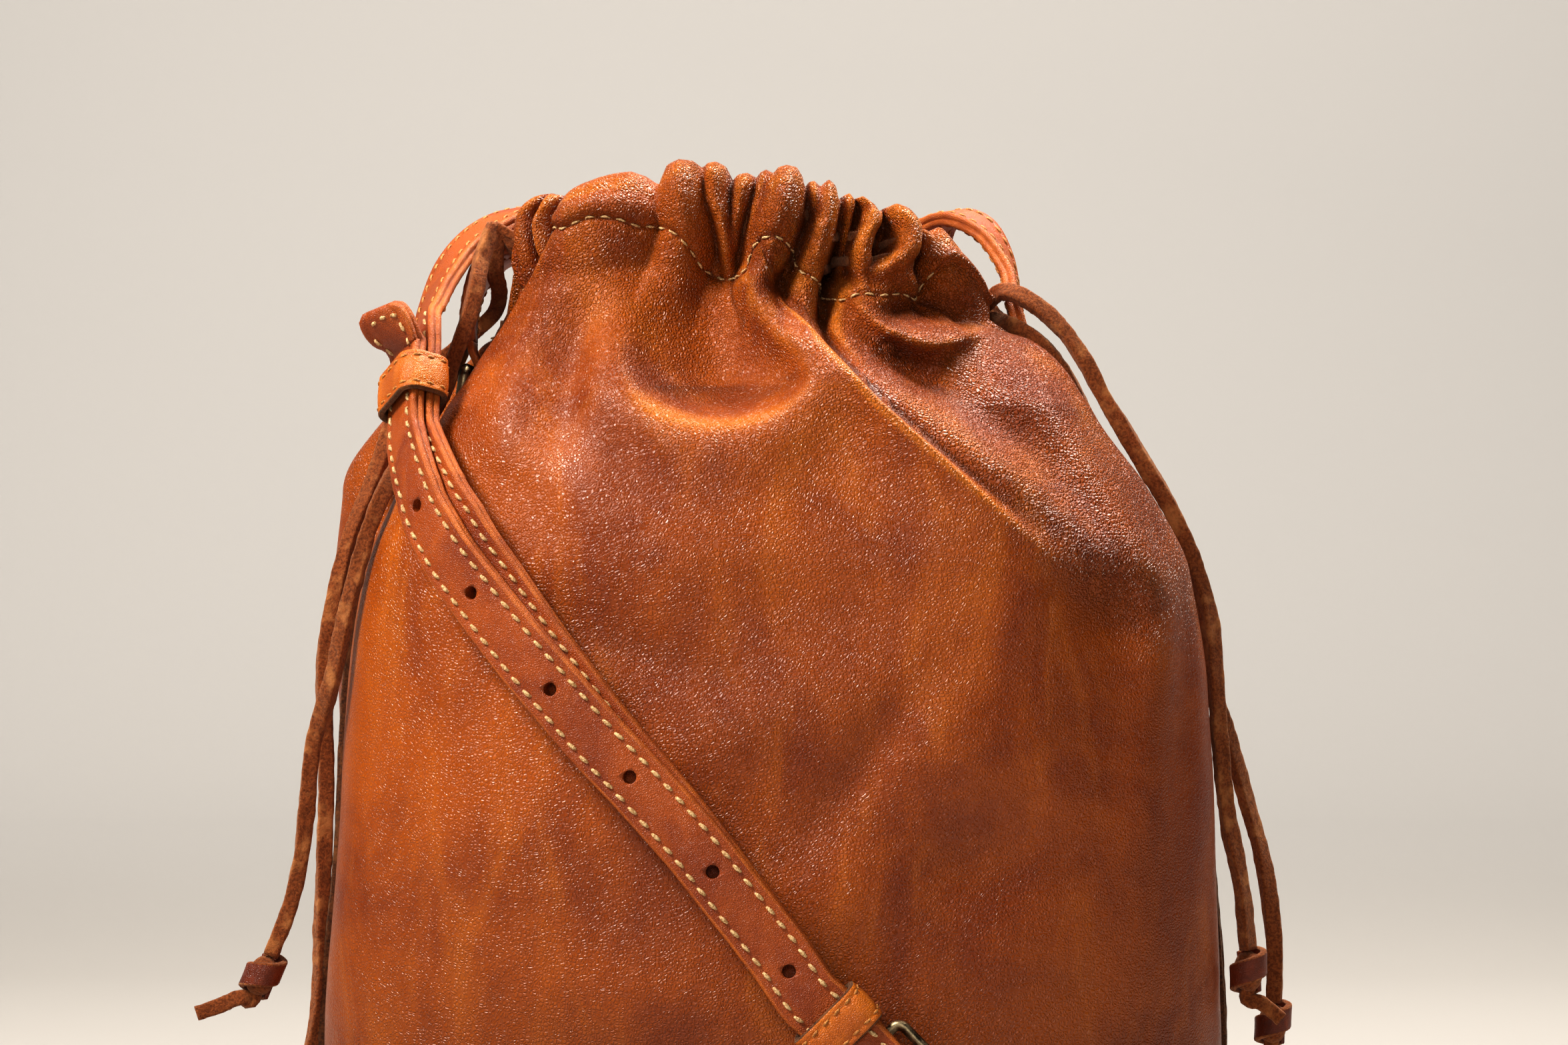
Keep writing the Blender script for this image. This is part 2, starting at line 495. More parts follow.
FRONT_ROWS = ([list(KEEPER_TOP * (1 - f) + KEEPER_END * f) for f in (-0.2, 0, 0.25, 0.5, 0.75, 1)]
              + [on_front(*row) for row in (
                  (-84, 182, 50, 8), (-82.5, 172, 43, 6), (-77.5, 161.5, 36, 4.6), (-70.3, 151.3, 28, 4),
                  (-61, 140, 20, 3.8), (-51.8, 129.5, 13, 3.6), (-42, 118.5, 8, 3.6), (-31.6, 108, 4, 3.6),
                  (-21, 97, 2, 3.8), (-10.8, 86.1, 0, 4), (0, 74.5, 0, 4.4))]
              + [stack_row(-20, 0), stack_row(-16, 0)])
# Holes: the row of the front run that each is near, and how many frames before it the hole lies
HOLES = ((7, 0), (9, 0), (11, 1), (13, 3), (15, 4), (17, 5))
CHAPE_L = 9.0


def lifted(i):
    """Row i of the lower strap, moved out to the upper one."""
    row = np.array(FRONT_ROWS[i])
    before, after = FRONT_ROWS[max(i - 1, 0)], FRONT_ROWS[min(i + 1, len(FRONT_ROWS) - 1)]
    along = unit(np.array(after[:3]) - np.array(before[:3]))
    out = np.cross(unit(np.cross(along, row[3:])), along)
    return [*(row[:3] + out * STACK), *row[3:]]


LIFTED_ROWS = [lifted(i) for i in range(len(FRONT_ROWS))]
BILLET_TIP = [[-95.6, -27, 224, -0.5, -0.85, -0.1], [-94.8, -26.7, 222.4, -0.5, -0.85, -0.1],
              [-91.9, -25.7, 218, -0.65, -0.7, 0]]
BUCKLE_PASS = ((-9, 4.2), (-4, 4.9), (0, 5.2), (4, 5), (8, 3.9), (10, 3.1), (12, 2.1), (16, 0.5), (19, 0),
               (24, -0.6))
WRAP = [
    [50, -69, 21, 0.1, -1, 0], [62, -64, 14.5, 0.25, -1, 0], [76, -57.5, 11, 0.5, -1, 0],
    [90, -48.5, 9.8, 0.8, -1, 0], [103, -35, 9.8, 1, -0.8, 0], [112, -19, 9.8, 1, -0.35, 0],
    [115.5, 0, 10.5, 1, 0.1, 0], [113.5, 18, 13, 1, 0.4, 0], [106, 35, 19, 0.8, 0.8, 0],
    [95, 49, 29, 0.5, 1, 0], [83, 59, 44, 0.4, 1, 0], [72, 64.5, 64, 0.3, 1, 0], [63, 68, 88, 0.2, 1, 0],
    [56, 69, 114, 0.2, 1, 0.05], [51, 68, 140, 0.2, 1, 0.1], [47, 65, 164, 0.15, 1, 0.25],
    [44, 58, 186, 0.15, 1, 0.4], [41, 48, 206, 0.1, 1, 0.5], [38.5, 41, 222, 0.1, 1, 0.35],
    [37.5, 38, 234, 0, 1, 0.2], [39.5, 35, 244.5, -0.1, 0.6, 0.7],
    [44.5, 30, 250, 0.1, -0.35, 0.9], [51, 22, 249, 0.35, -0.4, 0.85], [57, 14, 242, 0.8, -0.35, 0.45],
    [60.5, 7, 232, 1, -0.15, 0.2]] + [leg_row(RIGHT_BAR, RIGHT_RING_LEAN, RIGHT_RING_LEAN, beyond)
                                   for beyond in (6, 3, 1.5, 0.1)]


def strap_frames(rows, spacing=1.2):
    """Evenly spaced places on a strap with its directions along, across and out of the face."""
    path = catmull(rows, 12)
    run = run_of(path[:, :3])
    s = np.linspace(0, run[-1], int(round(run[-1] / spacing)) + 1)
    even = rows_at(s, run, path)
    along = unit(np.gradient(even[:, :3], axis=0))
    across = unit(np.cross(along, even[:, 3:]))
    return s, even[:, :3], along, across, np.cross(across, along)


BUCKLE_FRAMES = strap_frames(LEFT_LEG + FRONT_ROWS + [stack_row(-12, 0), stack_row(-CHAPE_L - 0.05, 0)])
BILLET_FRAMES = strap_frames(BILLET_TIP + LIFTED_ROWS[1:] + [stack_row(*p) for p in BUCKLE_PASS] + WRAP)
# Across the front both straps lie a little further right than their solids, and the lower one fans out
BILLET_SOLID = BILLET_FRAMES[1].copy()
SLIDE_Z = [76, 95, 110, 136, 150, 165, 177, 186, 193]
for frames, slide in ((BUCKLE_FRAMES, [0, 3.0, 4.6, 7.2, 9.2, 10.4, 8.6, 4.0, 0]),
                      (BILLET_FRAMES, [0, 2.4, 3.2, 4.2, 5.2, 5.8, 5.0, 2.4, 0])):
    place = frames[1]
    place += -frames[3] * (np.interp(place[:, 2], SLIDE_Z, slide) * (place[:, 1] < -20))[:, None]


def clear_of_straps(points, normals, room=0.35):
    """Presses the shell in where a strap lies on it. The points are changed in place."""
    for _, place, along, across, out in (BUCKLE_FRAMES, BILLET_FRAMES):
        tree = KDTree(len(place))
        for i, p in enumerate(place):
            tree.insert(Vector(p), i)
        tree.balance()
        low, high = place.min(axis=0) - 14, place.max(axis=0) + 14
        near = np.where(((points > low) & (points < high)).all(axis=1))[0]
        for i in near:
            _, k, distance = tree.find(Vector(points[i]))
            if distance > 13:
                continue
            d = points[i] - place[k]
            side, height = abs(d @ across[k]), d @ out[k]
            edge = max(0.0, 1 - max(0.0, side - STRAP_W / 2) / 4.0)
            if edge <= 0 or abs(d @ along[k]) > 4 or out[k] @ normals[i] < 0.3:
                continue
            limit = -STRAP_T / 2 - room + (1 - edge * edge * (3 - 2 * edge)) * 3.0
            if height > limit and height < 8:
                points[i] -= out[k] * (height - limit)


# ---------------------------------------------------------------- materials

class Nodes:
    """Short way to write a node tree."""

    def __init__(self, name):
        self.material = bpy.data.materials.new(name)
        self.material.use_nodes = True
        self.tree = self.material.node_tree
        self.tree.nodes.clear()
        self.out = self.tree.nodes.new("ShaderNodeOutputMaterial")
        self.shader = self.tree.nodes.new("ShaderNodeBsdfPrincipled")
        self.tree.links.new(self.shader.outputs[0], self.out.inputs[0])
        self.coords = self.tree.nodes.new("ShaderNodeTexCoord").outputs["Object"]

    def put(self, socket, value):
        if isinstance(value, bpy.types.NodeSocket):
            self.tree.links.new(value, socket)
        elif value is not None:
            socket.default_value = value

    def node(self, kind, inputs=None, **settings):
        n = self.tree.nodes.new(kind)
        for key, value in settings.items():
            setattr(n, key, value)
        for key, value in (inputs or {}).items():
            self.put(n.inputs[key], value)
        return n

    def math(self, operation, a, b=None, clamp=False):
        n = self.node("ShaderNodeMath", operation=operation, use_clamp=clamp)
        self.put(n.inputs[0], a)
        if b is not None:
            self.put(n.inputs[1], b)
        return n.outputs[0]

    def scaled(self, scale, source=None):
        n = self.node("ShaderNodeVectorMath", operation="MULTIPLY")
        self.put(n.inputs[0], source or self.coords)
        n.inputs[1].default_value = scale if hasattr(scale, "__len__") else (scale,) * 3
        return n.outputs[0]

    def noise(self, scale, detail=4, rough=0.55, vector=None, distortion=0.0):
        n = self.node("ShaderNodeTexNoise", {"Vector": vector or self.coords, "Scale": scale, "Detail": detail,
                                             "Roughness": rough, "Distortion": distortion})
        return n.outputs[0]

    def ramp(self, value, low, high, to_low=0.0, to_high=1.0):
        n = self.node("ShaderNodeMapRange", {"Value": value, "From Min": low, "From Max": high,
                                             "To Min": to_low, "To Max": to_high},
                      interpolation_type="SMOOTHSTEP")
        return n.outputs[0]

    def mix(self, factor, a, b, blend="MIX"):
        n = self.node("ShaderNodeMix", data_type="RGBA", blend_type=blend)
        self.put(n.inputs["Factor"], factor)
        colours = [s for s in n.inputs if s.type == "RGBA"]
        self.put(colours[0], a)
        self.put(colours[1], b)
        return [s for s in n.outputs if s.type == "RGBA"][0]

    def attribute(self, name):
        return self.node("ShaderNodeAttribute", attribute_name=name).outputs["Fac"]

    def bump(self, height, distance, strength=1.0, normal=None):
        n = self.node("ShaderNodeBump", {"Height": height, "Distance": distance, "Strength": strength})
        if normal is not None:
            self.put(n.inputs["Normal"], normal)
        return n.outputs[0]

    def set(self, **values):
        for key, value in values.items():
            self.put(self.shader.inputs[key.replace("_", " ")], value)


def rgb(r, g, b):
    """Linear colour from the usual 0..255 values."""
    def linear(c):
        c /= 255
        return c / 12.92 if c <= 0.04045 else ((c + 0.055) / 1.055) ** 2.4
    return (linear(r), linear(g), linear(b), 1.0)


def leather(name, dark, middle, light, grain=0.9, grain_size=1.0, rough=0.40, worn=None, mottle=55.0,
            grain_by=None, specular=0.5):
    """Grained leather: mottled dye, pebbled grain with fine wrinkles, and lighter worn places."""
    m = Nodes(name)
    warp = m.node("ShaderNodeVectorMath", operation="MULTIPLY_ADD")
    m.put(warp.inputs[0], m.node("ShaderNodeTexNoise", {"Vector": m.coords, "Scale": 260.0,
                                                         "Detail": 2}).outputs[1])
    warp.inputs[1].default_value = (0.0016,) * 3
    m.put(warp.inputs[2], m.coords)
    cells = m.node("ShaderNodeTexVoronoi", {"Vector": warp.outputs[0], "Scale": 1150.0 / grain_size},
                   feature="DISTANCE_TO_EDGE").outputs["Distance"]
    pebble = m.ramp(cells, 0.0, 0.32)
    pores = m.noise(2600.0 / grain_size, 3, 0.6)
    wrinkle = m.noise(420.0 / grain_size, 5, 0.62, m.scaled((1.0, 1.0, 0.55)), 1.2)
    clouds = m.noise(mottle * 0.4, 4, 0.55, distortion=0.5)
    streaks = m.noise(1.0, 5, 0.6, m.scaled((mottle * 0.9, mottle * 0.9, mottle * 0.3)), 0.9)
    spots = m.noise(mottle * 3.0, 6, 0.65)
    shade = m.ramp(m.math("ADD", m.math("MULTIPLY", clouds, 0.6),
                          m.math("ADD", m.math("MULTIPLY", streaks, 0.28), m.math("MULTIPLY", spots, 0.12))),
                   0.34, 0.62)
    colour = m.mix(shade, dark, middle)
    colour = m.mix(m.math("MULTIPLY", m.ramp(streaks, 0.5, 0.75), 0.3), colour, light)
    creases = m.math("SUBTRACT", 1.0, pebble)
    colour = m.mix(m.math("MULTIPLY", creases, 0.2 * grain), colour, dark)
    if worn:
        high = m.ramp(m.attribute(worn), 0.5, 0.95)
        low = m.ramp(m.attribute(worn), 0.5, 0.05)
        colour = m.mix(m.math("MULTIPLY", high, 0.55), colour, light)
        colour = m.mix(m.math("MULTIPLY", low, 0.62), colour, tuple(0.42 * c for c in dark[:3]) + (1.0,))
    m.set(Base_Color=colour, Roughness=m.ramp(m.math("ADD", m.math("MULTIPLY", spots, 0.5),
                                                      m.math("MULTIPLY", pores, 0.5)),
                                              0.3, 0.7, rough - 0.06, rough + 0.10),
          Specular_IOR_Level=specular)
    height = m.math("ADD", m.math("MULTIPLY", pebble, 0.75),
                    m.math("ADD", m.math("MULTIPLY", wrinkle, 0.75), m.math("MULTIPLY", pores, 0.12)))
    if grain_by:
        height = m.math("MULTIPLY", height, m.attribute(grain_by))
    m.set(Normal=m.bump(height, 0.00024 * grain))
    return m.material


SHELL = leather("shell_leather", rgb(130, 54, 8), rgb(178, 90, 13), rgb(220, 132, 38), grain=1.4,
                grain_size=0.95, rough=0.31, worn="wear", grain_by="grain", specular=0.5)
STRAP = leather("strap_leather", rgb(138, 58, 14), rgb(176, 86, 22), rgb(208, 116, 40), grain=0.45,
                grain_size=0.6, rough=0.42, mottle=90)
STRAP_EDGE = leather("strap_edge_leather", rgb(164, 78, 18), rgb(200, 108, 32), rgb(224, 136, 52), grain=0.6,
                     grain_size=0.45, rough=0.46, mottle=220)
TAN = leather("tan_leather", rgb(180, 92, 18), rgb(218, 126, 30), rgb(238, 154, 60), grain=0.45,
              grain_size=0.6, rough=0.40, mottle=120)


def suede(name, dark, middle, light):
    m = Nodes(name)
    fibre = m.noise(1500.0, 5, 0.7)
    patches = m.noise(160.0, 4, 0.6)
    colour = m.mix(m.ramp(fibre, 0.35, 0.65), dark, middle)
    colour = m.mix(m.math("MULTIPLY", m.ramp(patches, 0.5, 0.7), 0.6), colour, light)
    m.set(Base_Color=colour, Roughness=0.85, Specular_IOR_Level=0.25, Sheen_Weight=0.35,
          Sheen_Roughness=0.45, Sheen_Tint=(0.95, 0.72, 0.5, 1))
    m.set(Normal=m.bump(m.math("ADD", fibre, m.math("MULTIPLY", patches, 0.6)), 0.0005))
    return m.material


SUEDE = suede("suede_lace", rgb(110, 54, 22), rgb(164, 92, 44), rgb(208, 142, 84))


def thread(name, dark, light):
    m = Nodes(name)
    ply = m.noise(2200.0, 3, 0.6)
    m.set(Base_Color=m.mix(m.ramp(ply, 0.35, 0.65), dark, light), Roughness=0.55, Specular_IOR_Level=0.35,
          Normal=m.bump(ply, 0.0002))
    return m.material


THREAD = thread("waxed_thread", rgb(176, 132, 82), rgb(240, 208, 156))
TAN_THREAD = thread("tan_thread", rgb(150, 92, 40), rgb(214, 154, 84))


def metal(name, base, bright):
    m = Nodes(name)
    brushed = m.noise(900.0, 4, 0.6, m.scaled((1, 1, 5)))
    age = m.noise(240.0, 5, 0.65)
    m.set(Base_Color=m.mix(m.ramp(age, 0.42, 0.62), base, bright), Metallic=1.0,
          Roughness=m.ramp(age, 0.3, 0.7, 0.22, 0.42), Normal=m.bump(brushed, 0.00006))
    return m.material


METAL = metal("antique_metal", rgb(96, 84, 66), rgb(168, 150, 118))


def board(name):
    m = Nodes(name)
    fibre = m.noise(1200.0, 5, 0.7, m.scaled((1, 0.4, 1)))
    m.set(Base_Color=m.mix(fibre, rgb(96, 72, 50), rgb(134, 106, 78)), Roughness=0.9,
          Normal=m.bump(fibre, 0.0003))
    return m.material


BOARD = board("base_board_fibre")


# ---------------------------------------------------------------- shell

HEM_R = 4.4            # radius of the hem's rolled top
MOUTH_Z = 236.0        # height where the plain body ends
FOOT_Z, FOOT_R = 12.0, 9.5
BODY_TOP = 204.0       # above this the rows follow the hem's seam line


def shell_half(name, first, count, seam_line, top_line, folds, gap=0.8, hem_gap=4.0):
    """Half of the bag from its base up over the hem and down the inside, with its seam edges at the ends.
    The first angle is 180 for the front and 0 for the back."""
    t0 = np.linspace(first, first + 180, 1801)
    at_mouth, at_middle = (run_of(body_point(t0, height)) for height in (MOUTH_Z, 90.0))
    s = 0.75 * at_mouth / at_mouth[-1] + 0.25 * at_middle / at_middle[-1]
    t = np.interp(np.linspace(0, 1, count), s, t0)
    mid = first + 90
    t_body = mid + (t - mid) * (1 - gap / 90)
    t_hem = mid + (t - mid) * (1 - hem_gap / 90)

    seam_z = np.full(count, MOUTH_Z)
    for _ in range(4):
        seam_z = np.interp(body_point(t_hem, seam_z)[:, 0], *seam_line.T)
    top_z = np.maximum(np.interp(body_point(t_hem, 245.0)[:, 0], *top_line.T), seam_z + 9)
    shoulder = top_z - HEM_R

    rows = []

    def add(height, inset, angle, share=1.0):
        rows.append([np.broadcast_to(value, count) for value in (height, inset, angle, share)])

    for a in np.radians((90, 72, 54, 36, 18)):
        add(FOOT_Z - 10.6 * math.sin(a), FOOT_R * (1 - math.cos(a)), t_body)
    for height in [*np.linspace(FOOT_Z, 150, 78), *np.linspace(150, BODY_TOP, 62)[1:]]:
        add(height, 0, t_body)
    for f in np.linspace(0, 1, 66)[1:]:
        add(BODY_TOP + (seam_z - BODY_TOP) * f, 0, t_body + (t_hem - t_body) * smoothstep(0.55, 1, f))
    hem_start = len(rows)
    for f in np.linspace(0, 1, 40)[1:]:
        add(seam_z + (shoulder - seam_z) * f, -1.5 * math.sin(math.pi * f), t_hem)
    for a in np.radians(np.linspace(0, 180, 17)[1:]):
        add(shoulder + HEM_R * math.sin(a), HEM_R * (1 - math.cos(a)), t_hem, 1 - 0.55 * a / math.pi)
    inner_start = len(rows)
    for f in np.linspace(0, 1, 9)[1:]:
        add(shoulder + (seam_z - 1.5 - shoulder) * f, 2 * HEM_R + 0.8 * math.sin(math.pi * f), t_hem, 0.45)
    for f, inset in ((0.0, 6.0), (0.02, 2.6)):
        add(seam_z - 2 - 30 * f, inset, t_hem + (t_body - t_hem) * f, 0.7)
    for f in np.linspace(0, 1, 34)[1:]:
        add((seam_z - 3) * (1 - f) + 5.0 * f, 2.4, t_hem + (t_body - t_hem) * smoothstep(0.0, 0.2, f))

    z, inset, angle, share = np.array(rows).transpose(1, 0, 2)
    place = body_point(angle, z)
    x, y = place[..., 0], place[..., 1]
    around = body_point(angle + 0.6, z) - body_point(angle - 0.6, z)
    normal = unit(np.stack([around[..., 1], -around[..., 0], 0 * z], -1))
    normal *= np.sign(normal[..., :1] * x[..., None] + normal[..., 1:2] * y[..., None])

    above_seam = z - seam_z
    amount = folds(x, np.minimum(z, top_z)) * smoothstep(0.0, 0.28, np.abs(np.sin(np.radians(angle)))) * share
    from_edge = np.minimum(np.arange(count), np.arange(count)[::-1]) * 0.36
    amount -= 1.5 * np.exp(-(from_edge / 1.6) ** 2)
    groove = 0.75 * np.exp(-(above_seam / 0.9) ** 2)
    groove[inner_start:] = 0
    if first == 180:
        groove *= 1 - smoothstep(40, 45, x)
    noise = hash_noise(place / 26.0, 3) * 0.45 + hash_noise(place / 9.0, 5) * 0.10
    crumple = (hash_noise(place / np.array([3.4, 3.4, 7.0]), 9) * 0.5
               + hash_noise(place / np.array([1.7, 1.7, 2.6]), 11) * 0.16) * smoothstep(-10, 3, above_seam)
    crumple += hash_noise(place / np.array([5.0, 5.0, 16.0]), 13) * 0.2 * smoothstep(-60, -6, above_seam)
    offset = amount + noise + crumple - groove - inset
    points = place + normal * offset[..., None]

    flat = points.reshape(-1, 3)
    outer = slice(0, inner_start * count)
    clear_of_straps(flat[outer], normal.reshape(-1, 3)[outer])
    columns = np.arange(count - 1)
    last_row = (len(rows) - 1) * count
    first_column = np.arange(0, last_row + 1, count)
    rim = np.stack([columns, columns + 1, last_row + columns + 1, last_row + columns], -1)
    faces = [*grid_faces(len(rows), count, flip=first == 180), first_column, (first_column + count - 1)[::-1], *rim]
    obj = mesh_object(name, flat, faces, SHELL)

    # wear follows how sharply the folds stand out from what is round them
    blurred = offset.copy()
    for _ in range(14):
        blurred[1:-1, 1:-1] = (blurred[:-2, 1:-1] + blurred[2:, 1:-1] + blurred[1:-1, :-2] + blurred[1:-1, 2:]
                               + 2 * blurred[1:-1, 1:-1]) / 6
    wear = np.clip(0.5 + (offset - blurred) * 0.55 - 0.24 * (1 - smoothstep(20, 135, z)), 0, 1)
    wear[inner_start:] = 0.35
    set_attribute(obj, "wear", wear)
    # the grain is coarser near the hem and on the right shoulder
    right_shoulder = smoothstep(222, 238, points[..., 0] + z) * smoothstep(130, 160, z)
    set_attribute(obj, "grain", 0.5 + np.maximum(0.6 * smoothstep(-60, -8, above_seam), 1.2 * right_shoulder))
    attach(obj, "bag")
    return obj, points, hem_start, seam_z, normal


front_shell = shell_half("front_shell", 180, 430, FRONT_SEAM, FRONT_TOP, front_folds)
back_shell = shell_half("back_shell", 0, 360, BACK_SEAM, BACK_TOP, back_folds)
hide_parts("front_panel", "front_hem")
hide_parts("back_panel", "back_hem")


# ---------------------------------------------------------------- sweeps and stitches

RAW = suede("raw_edge_leather", rgb(62, 32, 16), rgb(112, 64, 32), rgb(150, 96, 52))


def rounded_bar(half_w, half_t, radius, steps=3, flat=3):
    """Outline of a flat bar with round corners: across and out, anticlockwise from its right side."""
    w, t = half_w - radius, half_t - radius
    corners = [arc(cx, cy, radius, first, first + 90, steps)
               for cx, cy, first in ((w, t, 0), (-w, t, 90), (-w, -t, 180), (w, -t, 270))]
    points = []
    for corner, following in zip(corners, corners[1:] + corners[:1]):
        (x, y), (nx, ny) = corner[-1], following[0]
        points += corner
        points += [(x + (nx - x) * k / (flat + 1), y + (ny - y) * k / (flat + 1)) for k in range(1, flat + 1)]
    return np.array(points)


def strap_outline(half_w=STRAP_W / 2, half_t=STRAP_T / 2, groove=4.9):
    """Two plies with rounded edges, a notch between them and a shallow groove under each stitch row."""
    r = half_t * 0.48
    ply = [(half_w - 0.55, 0.0), (half_w - 0.16, 0.22), (half_w, r), (half_w - 0.06, 2 * r - 0.55),
           (half_w - 0.3, half_t - 0.2), (half_w - 0.75, half_t)]
    face = [(groove + 0.8, half_t), (groove + 0.35, half_t - 0.12), (groove, half_t - 0.2),
            (groove - 0.35, half_t - 0.12), (groove - 0.9, half_t + 0.06), (2.2, half_t + 0.12)]
    right_up = np.array(ply + face)
    left_up = (right_up * (-1, 1))[::-1]
    left_down = (right_up * (-1, -1))[1:]
    right_down = (right_up * (1, -1))[::-1][:-1]
    return np.concatenate([right_up, left_up, left_down, right_down])


def face_outwards(obj):
    b = bmesh.new()
    b.from_mesh(obj.data)
    bmesh.ops.recalc_face_normals(b, faces=b.faces)
    b.to_mesh(obj.data)
    b.free()
    return obj


def sweep(name, places, across, out, outline, material, closed=False, scale=None, side_depth=0,
          side_material=None, smooth=True):
    """Solid of an outline, or of one outline per place, carried along a path. The faces within side_depth of
    each side of the outline get the side material."""
    n = len(places)
    outlines = np.broadcast_to(outline, (n,) + np.shape(outline)[-2:]) if np.ndim(outline) == 2 else outline
    if scale is not None:
        outlines = outlines * np.asarray(scale)[:, None, :]
    points = places[:, None] + across[:, None] * outlines[..., :1] + out[:, None] * outlines[..., 1:]
    m = outlines.shape[1]
    faces = list(grid_faces(n + 1, m, wrap=True) % (n * m)) if closed else tube_faces(n, m)
    obj = mesh_object(name, points.reshape(-1, 3), faces, material, smooth)
    if side_material is not None:
        obj.data.materials.append(side_material)
        reach = np.abs(outlines[0][:, 0])
        edge = reach > reach.max() - side_depth
        column = np.tile(np.arange(m), (n if closed else n - 1))
        chosen = edge[column] & edge[(column + 1) % m]
        index = np.zeros(len(obj.data.polygons), np.int32)
        index[:len(chosen)] = chosen
        obj.data.polygons.foreach_set("material_index", index)
    set_attribute(obj, "run", np.repeat(run_of(places), m))
    return face_outwards(obj)


def path_frames(points, facing, spacing=0.8, closed=False):
    """Even places along the points, with directions across and out that stay near the facing."""
    points = np.asarray(points, float)
    if closed:
        points = np.concatenate([points, points[:1]])
    run = run_of(points)
    count = max(int(round(run[-1] / spacing)), 3)
    s = np.linspace(0, run[-1], count + 1)[:-1 if closed else None]
    place = rows_at(s, run, points)
    along = unit(np.roll(place, -1, 0) - np.roll(place, 1, 0) if closed else np.gradient(place, axis=0))
    across = unit(np.cross(along, np.asarray(facing, float)))
    return s, place, along, across, np.cross(across, along)


def round_loop(half_w, low, high, radius, steps=6):
    """Closed rectangle with round corners, anticlockwise from its lower right corner."""
    w = half_w - radius
    low, high = low + radius, high - radius
    corners = ((w, low, -90), (w, high, 0), (-w, high, 90), (-w, low, 180))
    return np.array([p for cx, cy, first in corners for p in arc(cx, cy, radius, first, first + 90, steps)])


def ring_outline(radius, sides=12):
    a = np.radians(np.arange(sides) * 360 / sides)
    return np.stack([np.cos(a), np.sin(a)], -1) * radius


def stitch_row(line, outs, pitch=4.1, length=3.2, radius=0.5, first=2.0, slant=9.0, lift=0.22):
    """Points and faces of a row of twisted two-ply stitches along a line of places."""
    rings, sides = 9, 8
    run = run_of(line)
    u = np.linspace(-1, 1, rings)
    thick = radius * np.sqrt(np.clip(1.04 - np.abs(u) ** 3, 0.02, 1))
    points, faces = [], []
    for centre in np.arange(first, run[-1] - length / 2, pitch):
        s = centre + u * length / 2
        place = rows_at(s, run, line)
        out = unit(rows_at(s, run, outs))
        along = unit(place[-1] - place[0])
        side = unit(np.cross(along, out))
        place = place + side * (u * length / 2 * math.tan(math.radians(slant)))[:, None]
        place = place + out * (lift - (radius + 0.5) * np.abs(u) ** 3.2)[:, None]
        faces += tube_faces(rings, sides, len(points))
        for k in range(rings):
            for j in range(sides):
                a = 2 * math.pi * j / sides
                r = thick[k] * (1 + 0.16 * math.cos(2 * (a - 2.6 * u[k])))
                points.append(place[k] + (side[k] * math.cos(a) * 0.95 + out[k] * math.sin(a) * 0.8) * r)
    return points, faces


def stitches(name, rows, body="bag", material=THREAD):
    """One piece of thread from rows of (line, outs, settings)."""
    points, faces = [], []
    for line, outs, settings in rows:
        p, f = stitch_row(np.asarray(line), np.asarray(outs), **settings)
        faces += [[i + len(points) for i in face] for face in f]
        points += p
    obj = mesh_object(name, np.array(points), faces, material)
    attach(obj, body)
    return obj


def cut(obj, cutters):
    """Takes the cutters out of a piece and deletes them."""
    for cutter in cutters:
        modifier = obj.modifiers.new("cut", "BOOLEAN")
        modifier.operation, modifier.object, modifier.solver = "DIFFERENCE", cutter, "EXACT"
    bpy.context.view_layer.update()
    evaluated = obj.evaluated_get(bpy.context.evaluated_depsgraph_get())
    mesh = bpy.data.meshes.new_from_object(evaluated)
    obj.modifiers.clear()
    old, obj.data = obj.data, mesh
    bpy.data.meshes.remove(old)
    for cutter in cutters:
        bpy.data.objects.remove(cutter)


def cutter(a, b, radius, sides=20):
    """Cylinder from a to b, to cut with."""
    along = unit(b - a)
    helper = np.array([0, 0, 1.0]) if abs(along[2]) < 0.9 else np.array([1.0, 0, 0])
    across = unit(np.cross(along, helper))
    out = np.cross(across, along)
    return sweep("cutter", np.array([a, b]), np.array([across] * 2), np.array([out] * 2),
                 ring_outline(radius, sides), RAW, smooth=False)


def finish_piece(obj, body, slot, *nodes):
    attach(obj, body)
    if nodes:
        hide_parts(*nodes)
    return obj


# ---------------------------------------------------------------- drawcords

